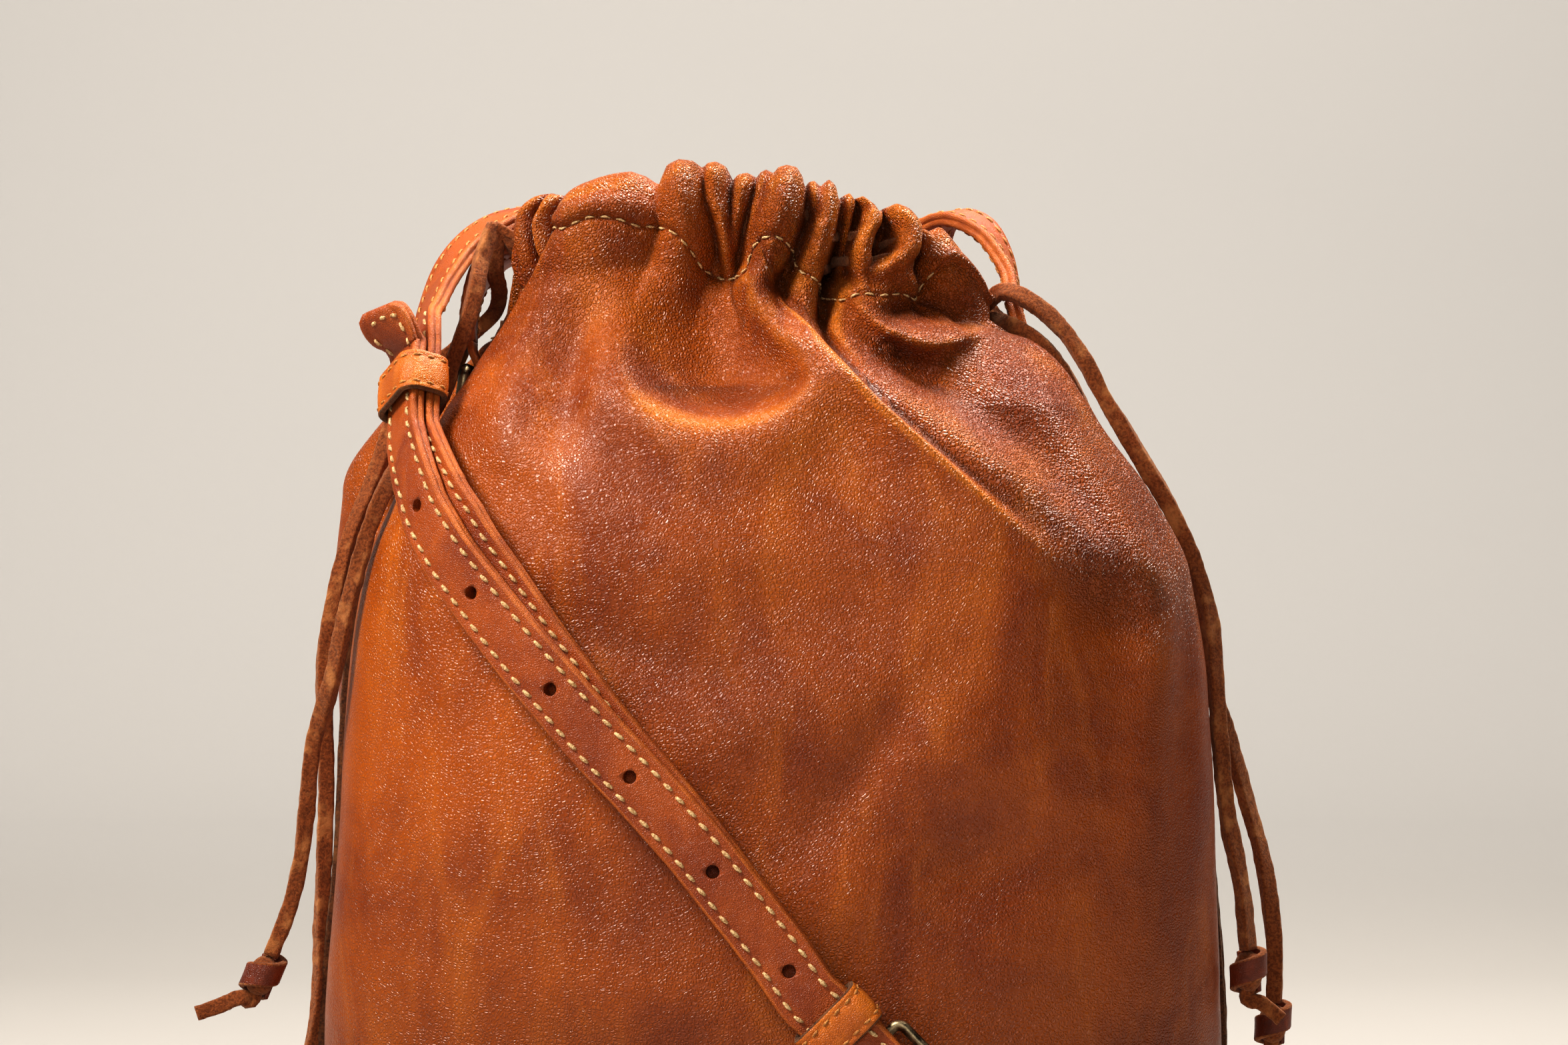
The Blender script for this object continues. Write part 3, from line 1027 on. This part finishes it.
CORDS = {
    "left_front": [(-69.11, -2.76, 246.06), (-72, -6, 238), (-73, -10, 231), (-75, -12, 222), (-78.5, -12.5, 212),
                   (-81.5, -13, 203), (-86.5, -16, 194), (-91, -22, 186), (-93.5, -29, 180), (-96, -31, 174),
                   (-99, -31, 165), (-103, -30, 150), (-106.6, -28, 134), (-110, -24, 124), (-112.5, -22, 115),
                   (-115, -20, 92), (-118, -19, 78), (-123, -19, 65)],
    "left_back": [(-69.23, 2.85, 246.03), (-69.6, 4.5, 235), (-68.9, 9, 230), (-71, 17, 225), (-79, 21, 218),
                  (-90, 18, 208), (-96, 13, 198), (-100, 8, 184), (-106, 3, 168), (-110, 1, 152), (-112, 0, 138),
                  (-112, -1, 124), (-111.5, -1, 107), (-112, -1, 90), (-112.6, -1, 70), (-113.4, -1, 50),
                  (-116, -1, 36)],
    "right_front": [(54.28, -2.76, 226.26), (57.5, -7, 229), (62.5, -11, 227.5), (70, -12, 222), (77, -13, 213),
                    (82, -13, 203.5), (88, -13, 193.5), (94, -13, 183.5), (100, -13, 173), (105, -13, 161),
                    (108.5, -13, 149), (110, -14, 135), (110.8, -15, 121), (112.8, -15, 100), (114.8, -15, 90),
                    (116.6, -15, 80), (118, -15, 66)],
    "right_back": [(54.27, 2.85, 226.27), (55.8, -1, 223.4), (57.5, -7.5, 221.5), (61, -11.5, 219.8),
                   (66, -13, 216.6), (71, -12.5, 211), (75, -11, 204.5), (79, -9.5, 197), (84, -8.5, 189),
                   (91.5, -8, 178), (98, -7, 168), (104.5, -5, 156), (108, 0, 142), (111, 4, 130), (116, 8, 117),
                   (121, 10, 100), (125, 9, 85), (127.5, 8, 66), (127.4, 8, 50)]}
TAILS = {"left_front": [(-126, -19, 58), (-130, -20, 55), (-135, -20, 53), (-141, -21, 51)],
         "left_back": [(-118, -1, 28), (-118.5, -2, 20), (-120, -3, 12)],
         "right_front": [(118, -15, 59), (121, -16, 53), (126, -17, 49)],
         "right_back": [(127, 8, 43), (128, 7, 34), (127, 6, 27)]}


def rough_sweep(name, place, across, out, width, thick, material, seed, twist=0.0, rough=0.16):
    """Cut lace: a squarish section that varies a little, with a torn, fibrous surface."""
    outline = rounded_bar(width / 2, thick / 2, 0.5, 2, 3)
    run = run_of(place)
    swing = twist * np.sin(run / 34.0 + seed) + 0.25 * np.sin(run / 13.0 + 2 * seed)
    c, s = np.cos(swing)[:, None], np.sin(swing)[:, None]
    across, out = across * c + out * s, out * c - across * s
    wide = 1 + 0.07 * hash_noise(np.stack([run / 9.0, 0 * run + seed, 0 * run], -1), 21)
    outlines = outline * wide[:, None, None]
    points = place[:, None] + across[:, None] * outlines[..., :1] + out[:, None] * outlines[..., 1:]
    bump = hash_noise(points / np.array([0.9, 0.9, 1.6]) + seed * 7.1, 31) * rough
    bump += hash_noise(points / 3.1 + seed * 3.3, 33) * rough * 0.7
    points = points + unit(points - place[:, None]) * bump[..., None]
    faces = tube_faces(len(place), len(outline))
    return face_outwards(mesh_object(name, points.reshape(-1, 3), faces, material))


LACE_FACE = leather("lace_leather", rgb(86, 34, 16), rgb(140, 60, 26), rgb(186, 98, 50), grain=0.4, grain_size=0.5,
                    rough=0.34, mottle=260)


def knot(name, end, lean, tail, seed):
    """Lace tied round itself: a core, a broad smooth wrap that lies slantwise round it, and the cut tail."""
    up = -lean
    helper = unit(np.cross(up, np.array([0, -1.0, 0.1])))
    front = np.cross(helper, up)
    centre = end + lean * 5.4
    u = np.linspace(-1, 1, 13)
    swell = np.sqrt(np.clip(1.02 - np.abs(u) ** 2.6, 0.04, 1))
    core = sweep(name + "_core", centre + lean * (u * 5.1)[:, None], np.array([helper] * len(u)),
                 np.array([front] * len(u)), ring_outline(3.5, 14), SUEDE,
                 scale=np.stack([swell, swell * 0.95], -1))
    # the wrap makes a turn and a quarter, rising from low on one side to high on the other
    theta = np.radians(np.linspace(-250, 215, 80))
    rise = 2.6 * np.sin((theta + 0.6) * 0.5) + 0.5 * theta / math.pi
    radius = 3.55 + 0.35 * np.cos(theta * 0.7) + 0.10 * theta / math.pi
    ring = np.cos(theta)[:, None] * front + np.sin(theta)[:, None] * helper
    place = centre + ring * radius[:, None] + up * rise[:, None]
    along = unit(np.gradient(place, axis=0))
    across = unit(np.cross(along, ring))
    u = np.linspace(0, 1, len(theta))
    taper = 0.65 + 0.35 * smoothstep(0, 0.1, u) * smoothstep(1, 0.9, u)
    wrap = sweep(name + "_wrap", place, across, np.cross(across, along), rounded_bar(3.0, 0.85, 0.5, 2, 3),
                 LACE_FACE, scale=np.stack([taper, taper], -1), side_depth=0.75, side_material=SUEDE)
    tail_rows = [end + lean * 9.4, end + lean * 12.4, *tail[1:]]
    _, place, _, across, out = path_frames(catmull(tail_rows, 6), (0.15, -1, 0.2), 0.7)
    return [core, wrap, rough_sweep(name + "_tail", place, across, out, 3.6, 2.4, SUEDE, seed + 5)]


def join(name, parts):
    """One mesh out of several, with their materials kept."""
    bpy.ops.object.select_all(action="DESELECT")
    for part in parts:
        part.select_set(True)
    bpy.context.view_layer.objects.active = parts[0]
    bpy.ops.object.join()
    parts[0].name = name
    parts[0].data.name = name
    return parts[0]


def make_cord(side, seed):
    """One hanging lace with its end knot."""
    rows = np.array(CORDS[side])
    _, place, _, across, out = path_frames(catmull(rows, 6), (0.2, -1, 0.25), 0.8)
    lean = unit(np.array(TAILS[side][0]) - rows[-1])
    piece = rough_sweep(side + "_lace", place, across, out, 3.9, 3.0, SUEDE, seed, twist=0.35)
    knot_piece = join(side + "_lace_knot", knot(side + "_lace_knot", rows[-1], lean, TAILS[side], seed))
    finish_piece(knot_piece, "bag", "suede_lace", side + "_knot")
    finish_piece(piece, "bag", "suede_lace", side + "_cord")


for number, side in enumerate(CORDS):
    make_cord(side, number + 1)


def loop_path(side, height):
    """Line inside the hem: front then back for the left loop, back then front for the right one."""
    shells = {"front": front_shell, "back": back_shell}
    faces = ("front", "back") if side == "left" else ("back", "front")
    start, end = (np.array(CORDS[side + "_" + face][0]) for face in faces)
    path = [start]
    for face in faces:
        _, points, hem_start, seam_z, normal = shells[face]
        for column in range(10, points.shape[1] - 10, 6):
            outer = points[hem_start:hem_start + 36, column]
            target = min(seam_z[column] + height, outer[:, 2].max() - 3.4)
            k = int(np.argmin(np.abs(outer[:, 2] - target)))
            path.append(outer[k] - normal[hem_start + k, column] * 4.4)
    return np.array(path + [end])


for side, height, seed in (("left", 15.0, 11), ("right", 8.5, 12)):
    _, place, _, across, out = path_frames(catmull(loop_path(side, height), 3), (0, 0, 1), 1.6)
    finish_piece(rough_sweep(side + "_hem_lace", place, across, out, 2.8, 2.4, SUEDE, seed),
                 "bag", "suede_lace", side + "_drawcord_loop")


# ---------------------------------------------------------------- straps

STRAP_OUTLINE = strap_outline()
ROW_X = 4.9            # distance of a stitch row from the strap's middle


def strap_piece(name, frames, tip=False):
    """Two-ply strap along its frames, narrowed at the tip."""
    s, place, _, across, out = frames
    scale = np.ones((len(s), 2))
    if tip:
        d = np.clip(s / 6.0, 0, 1)
        scale[:, 0] = 0.62 + 0.38 * np.sqrt(np.clip(1 - (1 - d) ** 2, 0, 1))
        scale[:, 1] = 0.72 + 0.28 * smoothstep(0, 1.2, s)
    return sweep(name, place, across, out, STRAP_OUTLINE, STRAP, scale=scale, side_depth=0.9,
                 side_material=STRAP_EDGE)


def strap_stitches(frames, first, last, radius=0.5):
    """Rows of stitches on both faces of a strap between two places, counted in millimetres along it."""
    s = frames[0]
    place, _, across, out = (part[(s >= first) & (s <= last)] for part in frames[1:])
    rows = []
    for face in (1, -1):
        for side, start in ((-1, 2.0), (1, 2.6)):
            line = place + across * side * ROW_X + out * face * (STRAP_T / 2 - 0.1)
            rows.append((line, out * face, dict(slant=-9 * face, first=start, radius=radius)))
    return rows


def tip_stitches(frames, at):
    """The stitches that join the two rows across the tip."""
    s, place, along, across, out = frames
    k = int(np.searchsorted(s, at))
    half = np.linspace(-ROW_X, ROW_X, 17)[:, None]
    bow = 1.2 * (1 - (half / ROW_X) ** 2)
    line = place[k] + across[k] * half - along[k] * bow + out[k] * (STRAP_T / 2 - 0.1)
    return [(line, np.array([out[k]] * 17), dict(first=0.9, pitch=3.2, length=2.5, slant=0))]


finish_piece(strap_piece("long_buckle_strap", BUCKLE_FRAMES), "bag", "strap_leather", "buckle_strap")
billet = strap_piece("long_billet_strap", BILLET_FRAMES, tip=True)
punches = []
for i, back in HOLES:
    k = int(np.linalg.norm(BILLET_SOLID - np.array(LIFTED_ROWS[i][:3]), axis=1).argmin()) - back
    p, facing_out = BILLET_FRAMES[1][k], BILLET_FRAMES[4][k]
    punches.append(cutter(p - facing_out * 3, p + facing_out * 3, 1.6))
HEEL_ALONG, HEEL_OUT = np.array([1, 0, -1]) / math.sqrt(2), np.array([0, -1.0, 0])
HEEL_ACROSS = np.array([1, 0, 1]) / math.sqrt(2)
PRONG_ANGLE = math.atan2(6.1, 19)
# the hole at the buckle has room for the prong at all its angles
for swing in (0, 4, 8):
    a = PRONG_ANGLE + math.radians(swing)
    run = HEEL_ALONG * math.cos(a) + HEEL_OUT * math.sin(a)
    punches.append(cutter(HEEL + run * 4, HEEL + run * 15, 1.8))
cut(billet, punches)
finish_piece(billet, "bag", "strap_leather", "billet_strap")
# The thread is cream on the front run and tan on the runs behind
BUCKLE_TURN = BUCKLE_FRAMES[0][BUCKLE_FRAMES[1][:, 1] > -16][-1]
BILLET_TURN = BILLET_FRAMES[0][BILLET_FRAMES[1][:, 1] < -40][-1]
stitches("strap_thread", strap_stitches(BUCKLE_FRAMES, BUCKLE_TURN, BUCKLE_FRAMES[0][-1] - 12)
         + strap_stitches(BILLET_FRAMES, 3.6, BILLET_TURN) + tip_stitches(BILLET_FRAMES, 3.0))
stitches("strap_back_thread", strap_stitches(BUCKLE_FRAMES, 3, BUCKLE_TURN - 1, 0.36)
         + strap_stitches(BILLET_FRAMES, BILLET_TURN + 1, BILLET_FRAMES[0][-1] - 3, 0.36),
         material=TAN_THREAD)


# ---------------------------------------------------------------- folded ends, tabs and keepers

def plane_frames(origin, x_dir, y_dir, line):
    """Frames along a line drawn in a plane, with across square to the plane."""
    points = origin + np.outer(line[:, 0], x_dir) + np.outer(line[:, 1], y_dir)
    s, place, along, _, _ = path_frames(points, (1, 0.3, 0.2), 0.5)
    across = np.broadcast_to(unit(np.cross(x_dir, y_dir)), place.shape)
    return s, place, along, across, np.cross(across, along)


def ply_wrap(name, origin, x_dir, y_dir, bore, ply, width, leg, leg_half, material):
    """Strip of leather folded round a bar, with both ends running along x_dir."""
    radius, end_y = bore + ply / 2, leg_half - ply / 2
    neck = (leg * 0.66, end_y + 0.08 * (radius - leg_half))
    rows = [(leg, end_y), neck, *arc(0, 0, radius, 62, 290, 19), (neck[0], -neck[1]), (leg, -end_y)]
    frames = plane_frames(origin, x_dir, y_dir, catmull(rows, 3))
    _, place, _, across, out = frames
    outline = rounded_bar(width / 2, ply / 2, ply * 0.42, 3, 5)
    return sweep(name, place, across, out, outline, material, side_depth=0.5, side_material=STRAP_EDGE), frames


TAB_T = 1.4
for side, bar, ring_lean, leg_lean, tab_lean in (
        ("left", LEFT_BAR, LEFT_RING_LEAN, LEFT_LEG_LEAN, 215),
        ("right", RIGHT_BAR, RIGHT_RING_LEAN, RIGHT_RING_LEAN, 135)):
    end, _ = ply_wrap(side + "_strap_fold", ring_top(bar, ring_lean), *leaned(leg_lean), 2.25, 1.5, STRAP_W,
                      LOOP_LEG, STRAP_T / 2, STRAP)
    finish_piece(end, "bag", "strap_leather", side + "_strap_chape")
    tab, frames = ply_wrap(side + "_tab", bar, *leaned(tab_lean), 1.75, TAB_T, 12.6, 21, TAB_T, TAN)
    finish_piece(tab, "bag", "tan_leather", side + "_ring_tab")
    s = frames[0]
    rows = []
    for first, last in ((0.5, 15.5), (s[-1] - 15.5, s[-1] - 0.5)):
        place, _, across, out = (part[(s > first) & (s < last)] for part in frames[1:])
        rows += [(place + across * edge * 4.6 + out * (TAB_T / 2), out,
                  dict(pitch=3.4, length=2.5, radius=0.36, first=1.4)) for edge in (-1, 1)]
    stitches(side + "_tab_thread", rows)


def keeper_piece(name, node, centre, along, face, low, high, length, body, swell=0.35):
    """Leather loop round the straps: crowned, with rolled edges, two stitch rows and raw sides."""
    across = unit(np.cross(along, face))
    out = np.cross(across, along)
    half, wall = STRAP_W / 2 + 1.3, 1.6
    bottom, top = low - wall / 2, high + wall / 2
    line = round_loop(half, bottom, top, 3.0)
    line[:, 1] += (line[:, 1] > (bottom + top) / 2) * swell * (1 - (line[:, 0] / half) ** 2)
    points = centre + np.outer(line[:, 0], across) + np.outer(line[:, 1], out)
    _, place, way, _, _ = path_frames(points, along, 0.7, closed=True)
    wide = np.broadcast_to(along, place.shape)
    away = np.cross(wide, way)
    if ((place - place.mean(axis=0)) * away).sum() < 0:
        away = -away
    h = length / 2
    crown = [(h, 0.35), (h - 0.35, 0.78), (h - 1.3, 0.8), (h - 1.75, 0.6), (h - 2.2, 0.82), (h - 3.2, 0.98)]
    profile = np.array([(h, -0.45), *crown, (0, 1.06), *[(-x, y) for x, y in crown[::-1]], (-h, -0.45),
                        (-h + 0.4, -0.8), (h - 0.4, -0.8)])
    obj = sweep(name, place, wide, away, profile, TAN, closed=True, side_depth=0.5, side_material=RAW)
    finish_piece(obj, body, "tan_leather", node)
    rows = []
    for side in (-1, 1):
        line = place + wide * side * (h - 1.75) + away * 0.66
        rows.append((np.concatenate([line, line[:2]]), np.concatenate([away, away[:2]]),
                     dict(pitch=3.5, length=2.6, radius=0.34, first=1.0, slant=6 * side)))
    stitches(name + "_thread", rows, body, TAN_THREAD)


keeper_piece("lower_keeper", "fixed_keeper", from_heel(-9.5, 0), HEEL_ALONG, HEEL_OUT, -2.9, 7.1, 10, "bag")
keeper_piece("upper_keeper", "sliding_keeper", (KEEPER_TOP[:3] + KEEPER_END[:3]) / 2,
             unit(KEEPER_END[:3] - KEEPER_TOP[:3]), KEEPER_TOP[3:], -2.3, 6.4, 11, "keeper", 1.3)


# Folded end of the buckle strap: two plies round the heel bar, split for the prong
fold, _ = ply_wrap("buckle_fold", HEEL, -HEEL_ALONG, HEEL_OUT, 1.35, 1.7, STRAP_W, CHAPE_L, STRAP_T / 2, STRAP)
slot_box = sweep("cutter", np.array([HEEL - HEEL_ALONG * 4.2, HEEL + HEEL_ALONG * 6]), np.array([HEEL_ACROSS] * 2),
                 np.array([HEEL_OUT] * 2), np.array([(2.2, -5), (2.2, 5), (-2.2, 5), (-2.2, -5)])[::-1], RAW,
                 smooth=False)
cut(fold, [slot_box])
finish_piece(fold, "bag", "strap_leather", "buckle_chape")


# ---------------------------------------------------------------- metal

def wire(name, points, radii, body, node, facing, closed=True):
    """Metal wire along points, with its radii spread evenly over its length."""
    s, place, _, across, out = path_frames(points, facing, 0.5, closed)
    radius = np.interp(s / s[-1], np.linspace(0, 1, len(radii)), radii)
    obj = sweep(name, place, across, out, ring_outline(1.0, 14), METAL, closed=closed,
                scale=np.stack([radius, radius], -1))
    return finish_piece(obj, body, "dark_metal", node)


for side, bar, lean in (("left", LEFT_BAR, LEFT_RING_LEAN), ("right", RIGHT_BAR, RIGHT_RING_LEAN)):
    up, right = leaned(lean)
    loop = round_loop(9.5, 0, RING_RISE, 3)
    wire(side + "_loop", bar + np.outer(loop[:, 0], (0, 1, 0)) + np.outer(loop[:, 1], up), [1.5],
         side + "_strap_ring", side + "_ring", right)

FRAME_REACH, FRAME_LIFT = 19, 3.6
loop = round_loop(10.6, 0, FRAME_REACH, 1.9)
frame_points = (HEEL + np.outer(loop[:, 0], HEEL_ACROSS)
                + np.outer(loop[:, 1], HEEL_ALONG + HEEL_OUT * FRAME_LIFT / FRAME_REACH))
wire("buckle_loop", frame_points, [1.25, 1.25, 1.4, 1.5, 1.4, 1.5, 1.4, 1.25], "buckle", "buckle_frame", HEEL_OUT)

# The prong curls round the heel bar, then runs along the strap and over the frame
line = catmull(arc(0, 0, 2.05, -30, -285, 17) + [(4, 1.75), (8, 2.75), (13, 4.2), (17.5, 5.66), (19.8, 6.26)], 4)
prong_points = HEEL + np.outer(line[:, 0], HEEL_ALONG) + np.outer(line[:, 1], HEEL_OUT)
wire("prong_pin", prong_points, [0.7, 0.72, 0.74, 0.75, 0.8, 0.95, 1.0, 1.0, 1.0, 0.98, 0.95, 0.9, 0.7], "prong",
     "buckle_prong", HEEL_ACROSS, closed=False)


# ---------------------------------------------------------------- base, side seams and hem stitches

def make_base():
    """Flat base with a rounded rim."""
    t = np.arange(0, 360, 2.0)
    profile = ((60, 0), (30, 0), (4, 0), (2.2, 0.15), (1.4, 0.7), (1.2, 1.4), (1.4, 2), (2.2, 2.5), (30, 2.5),
               (60, 2.5))
    rings = [body_point(t, 2.5, inset) * (1, 1, 0) + (0, 0, z) for inset, z in profile]
    obj = mesh_object("base_leather", np.concatenate(rings), tube_faces(len(rings), len(t)), SHELL)
    set_attribute(obj, "wear", np.full(len(obj.data.vertices), 0.45))
    set_attribute(obj, "grain", np.full(len(obj.data.vertices), 0.8))
    finish_piece(obj, "bag", "shell_leather", "base_panel")


make_base()


def side_seam(name, angle, top, facing):
    """Raw edges of the front and back panels, sewn together down the side."""
    _, place, _, across, out = path_frames(body_point(angle, np.linspace(6, top, 150)), (facing, 0, 0), 1.2)
    plies = [rough_sweep(name + "_ply", place + across * ply * 1.15 + out * (0.4 + 0.25 * ply), across, out,
                         1.9, 4.2, RAW, 40 + ply, rough=0.10) for ply in (-1, 1)]
    finish_piece(join(name, plies), "bag", "shell_leather")


side_seam("left_seam", 180, 222, -1)
side_seam("right_seam", 0, 206, 1)


def hem_stitches(name, shell, right_end):
    """Stitches along the hem's seam, as far as the right end's x."""
    _, points, hem_start, _, normal = shell
    below, line, above, normal = (grid[row, 6:-6] for grid, row in (
        (points, hem_start - 4), (points, hem_start - 1), (points, hem_start + 3), (normal, hem_start - 1)))
    outs = unit(np.cross(unit(np.gradient(line, axis=0)), above - below))
    outs *= np.sign((outs * normal).sum(-1, keepdims=True))
    pick = line[:, 0] < right_end
    settings = dict(pitch=3.9, length=2.9, radius=0.3, first=2.0, slant=0)
    stitches(name, [(line[pick] + outs[pick] * 0.25, outs[pick], settings)])


hem_stitches("front_hem_thread", front_shell, 42)
hem_stitches("back_hem_thread", back_shell, 100)

board_materials = bpy.data.objects["base_board"].data.materials
board_materials.clear()
board_materials.append(BOARD)


# ---------------------------------------------------------------- floor, backdrop and light

def make_stage():
    """Pale floor that sweeps up into a backdrop far behind the bag."""
    m = Nodes("pale_floor")
    m.set(Base_Color=rgb(166, 161, 155), Roughness=0.9, Specular_IOR_Level=0.2)
    profile = [(-7000, 0), (1200, 0), *arc(1200, 900, 900, -90, 0, 15), (2100, 3400)]
    points = [(side, y, z) for y, z in profile for side in (-7000, 7000)]
    floor = mesh_object("floor", points, grid_faces(len(profile), 2), m.material)


def area_light(name, location, target, size, power, colour=(1, 1, 1), spread=180):
    """Rectangular light that points at a target. Its spread is in degrees."""
    data = bpy.data.lights.new(name, "AREA")
    data.shape, data.size, data.size_y = "RECTANGLE", size[0], size[1]
    data.energy, data.color, data.spread = power, colour, math.radians(spread)
    light = collection_add(bpy.data.objects.new(name, data))
    light.location = location
    light.rotation_euler = (Vector(target) - Vector(location)).to_track_quat("-Z", "Y").to_euler()


make_stage()
area_light("window_light", (-0.72, -0.45, 1.05), (-0.02, 0, 0.15), (0.4, 0.4), 22, (1.0, 0.97, 0.93))
area_light("front_light", (-0.1, -1.45, 0.6), (0, 0, 0.13), (0.45, 0.35), 4.2, (1.0, 0.97, 0.93))
area_light("top_light", (0.26, 0.2, 0.95), (0.02, 0, 0.2), (0.4, 0.4), 16, (1.0, 0.98, 0.95))
area_light("backdrop_light", (0.0, 0.95, 1.1), (0, 2.1, 0.6), (2.6, 0.4), 36)
# These three light the floor further out, so that it stays pale behind the bag from every side
for side, x, y in (("left", -3.4, 0.0), ("right", 3.4, 0.0), ("near", 0.0, -3.6)):
    area_light(side + "_floor_light", (x, y, 2.8), (1.12 * x, 1.12 * y, 0), (3.4, 3.4), 48, spread=100)

world = bpy.data.worlds.new("studio")
bpy.context.scene.world = world
world.use_nodes = True
background = world.node_tree.nodes["Background"].inputs
background[0].default_value, background[1].default_value = (0.80, 0.78, 0.75, 1), 0.06
view = bpy.context.scene.view_settings
view.view_transform, view.exposure, view.gamma = "Standard", 0.12, 0.8
